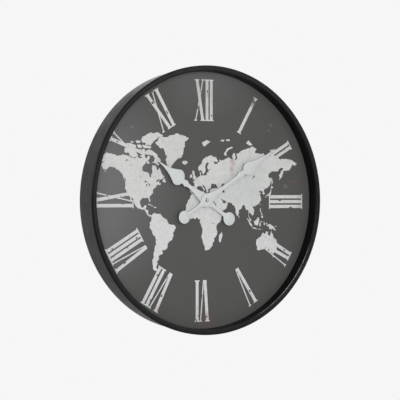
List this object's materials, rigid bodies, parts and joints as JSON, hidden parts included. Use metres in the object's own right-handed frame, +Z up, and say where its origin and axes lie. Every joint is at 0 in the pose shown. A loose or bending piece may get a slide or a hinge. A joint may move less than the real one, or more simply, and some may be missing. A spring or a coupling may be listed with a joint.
{
  "type": "wall clock",
  "caption": "Round wall clock with a deep black steel case, a dark board dial printed with a world map and Roman numerals, white spade hands and a battery movement with its wheel train",
  "frame": {"origin": "the point at the top of the hanger's slot that rests on the wall screw, on the plate's rear face", "axes": "+X right and +Z up seen from the front, +Y into the wall; the dial faces -Y"},
  "size_m": [0.6, 0.07, 0.6],
  "materials": {
    "black_paint": "satin black paint on steel sheet",
    "dial_face": "printed and satin varnished fibreboard",
    "hand_paint": "satin off-white paint on steel sheet",
    "zinc_steel": "zinc-plated steel",
    "brass": "turned brass",
    "nickel": "bright nickel plate",
    "movement_plastic": "moulded black plastic",
    "wheel_plastic": "moulded natural acetal",
    "rubber": "moulded rubber",
    "copper_wire": "enamelled copper wire",
    "circuit": "green circuit laminate",
    "ferrite": "sintered magnet",
    "cell_sleeve": "plain printed sleeve on a steel can"
  },
  "bodies": {
    "case": {"bezel_ring": "black_paint", "case_band": "black_paint", "dial_board": "dial_face", "dial_bracket_1": "zinc_steel", "dial_bracket_2": "zinc_steel", "dial_bracket_3": "zinc_steel", "dial_bracket_4": "zinc_steel", "dial_bracket_5": "zinc_steel", "dial_bracket_6": "zinc_steel", "bracket_screw_1": "zinc_steel", "bracket_screw_2": "zinc_steel", "bracket_screw_3": "zinc_steel", "bracket_screw_4": "zinc_steel", "bracket_screw_5": "zinc_steel", "bracket_screw_6": "zinc_steel", "hanger_plate": "zinc_steel", "movement_tray": "movement_plastic", "movement_cover": "movement_plastic", "rubber_washer": "rubber", "dial_washer": "zinc_steel", "dial_nut": "brass", "stator": "zinc_steel", "coil_core": "zinc_steel", "coil_bobbin": "movement_plastic", "coil_winding": "copper_wire", "circuit_board": "circuit", "circuit_chip": "movement_plastic", "quartz_crystal": "zinc_steel", "battery_contact_plus": "zinc_steel", "battery_contact_minus": "zinc_steel"},
    "minute_motion": {"minute_hand": "hand_paint", "minute_hand_bush": "brass", "hand_cap_nut": "nickel", "minute_arbor": "zinc_steel", "centre_wheel": "wheel_plastic"},
    "hour_motion": {"hour_hand": "hand_paint", "hour_hand_bush": "brass", "hour_wheel": "brass"},
    "setting_motion": {"minute_wheel": "wheel_plastic", "setting_knob": "movement_plastic"},
    "third_motion": {"third_wheel": "wheel_plastic"},
    "seconds_motion": {"seconds_wheel": "wheel_plastic"},
    "fifth_motion": {"fifth_wheel": "wheel_plastic"},
    "rotor_motion": {"rotor_pinion": "wheel_plastic", "rotor_magnet": "ferrite"},
    "cell": {"battery": "cell_sleeve"}
  },
  "joints": [
    {"name": "minute_turn", "type": "hinge", "parent": "case", "child": "minute_motion", "pos_m": [0, 0, -0.27874], "axis": [0, 1, 0], "continuous": true},
    {"name": "hour_turn", "type": "hinge", "parent": "case", "child": "hour_motion", "pos_m": [0, 0, -0.27874], "axis": [0, 1, 0], "continuous": true},
    {"name": "setting_turn", "type": "hinge", "parent": "case", "child": "setting_motion", "pos_m": [0.01145, 0, -0.27874], "axis": [0, 1, 0], "continuous": true},
    {"name": "third_turn", "type": "hinge", "parent": "case", "child": "third_motion", "pos_m": [-0.00935, 0, -0.27334], "axis": [0, 1, 0], "continuous": true},
    {"name": "seconds_turn", "type": "hinge", "parent": "case", "child": "seconds_motion", "pos_m": [0, 0, -0.27874], "axis": [0, 1, 0], "continuous": true},
    {"name": "fifth_turn", "type": "hinge", "parent": "case", "child": "fifth_motion", "pos_m": [0.00553, 0, -0.26917], "axis": [0, 1, 0], "continuous": true},
    {"name": "rotor_turn", "type": "hinge", "parent": "case", "child": "rotor_motion", "pos_m": [0.01474, 0, -0.26582], "axis": [0, 1, 0], "continuous": true},
    {"name": "battery_slide", "type": "slide", "parent": "case", "child": "cell", "axis": [0, 1, 0], "range_m": [0, 0.06]}
  ],
  "couplings": [
    {"joint": "hour_turn", "follows": "minute_turn", "ratio": 0.083333},
    {"joint": "setting_turn", "follows": "minute_turn", "ratio": -0.33333},
    {"joint": "third_turn", "follows": "minute_turn", "ratio": -8},
    {"joint": "seconds_turn", "follows": "minute_turn", "ratio": 60},
    {"joint": "fifth_turn", "follows": "minute_turn", "ratio": -300},
    {"joint": "rotor_turn", "follows": "minute_turn", "ratio": 1800}
  ]
}
